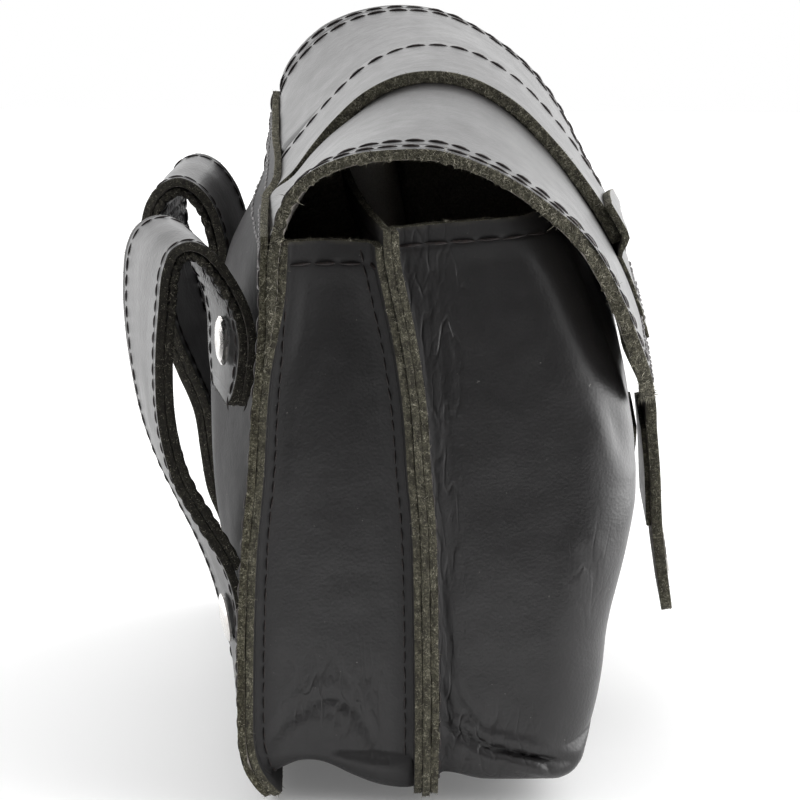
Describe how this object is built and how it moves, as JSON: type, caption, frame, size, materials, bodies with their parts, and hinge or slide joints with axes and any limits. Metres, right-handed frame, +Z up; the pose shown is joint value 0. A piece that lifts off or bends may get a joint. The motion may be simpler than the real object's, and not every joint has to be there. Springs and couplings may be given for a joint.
{
  "type": "belt bag",
  "caption": "Black smooth-leather belt bag with a rear compartment, a front pocket, a strapped flap with a snap tab, and doubled belt loops on its back.",
  "frame": {"origin": "on the ground, under the middle of the whole bag's box", "axes": "+X along the bag's width, +Y to the back where the belt loops are, +Z up"},
  "size_m": [0.1824, 0.1269, 0.1521],
  "materials": {
    "black_leather": "smooth, soft sheen, raw olive-grey cut edges, black thread",
    "brown_leather": "smooth, matt, dark brown closure patch",
    "metal_caps": "pale satin snap and rivet caps"
  },
  "bodies": {
    "root": {"back_panel": "black_leather", "rear_gusset": "black_leather", "divider": "black_leather", "front_pocket": "black_leather", "flap": "black_leather", "flap_strap": "black_leather", "flap_patch": "black_leather", "closure_tab": "black_leather", "tab_patch": "black_leather", "pocket_patch": "brown_leather", "tab_cap": "metal_caps", "belt_loop_left": "black_leather", "loop_lining_left": "black_leather", "loop_snap_left": "metal_caps", "loop_rivet_left": "metal_caps", "belt_loop_right": "black_leather", "loop_lining_right": "black_leather", "loop_snap_right": "metal_caps", "loop_rivet_right": "metal_caps"}
  },
  "joints": []
}
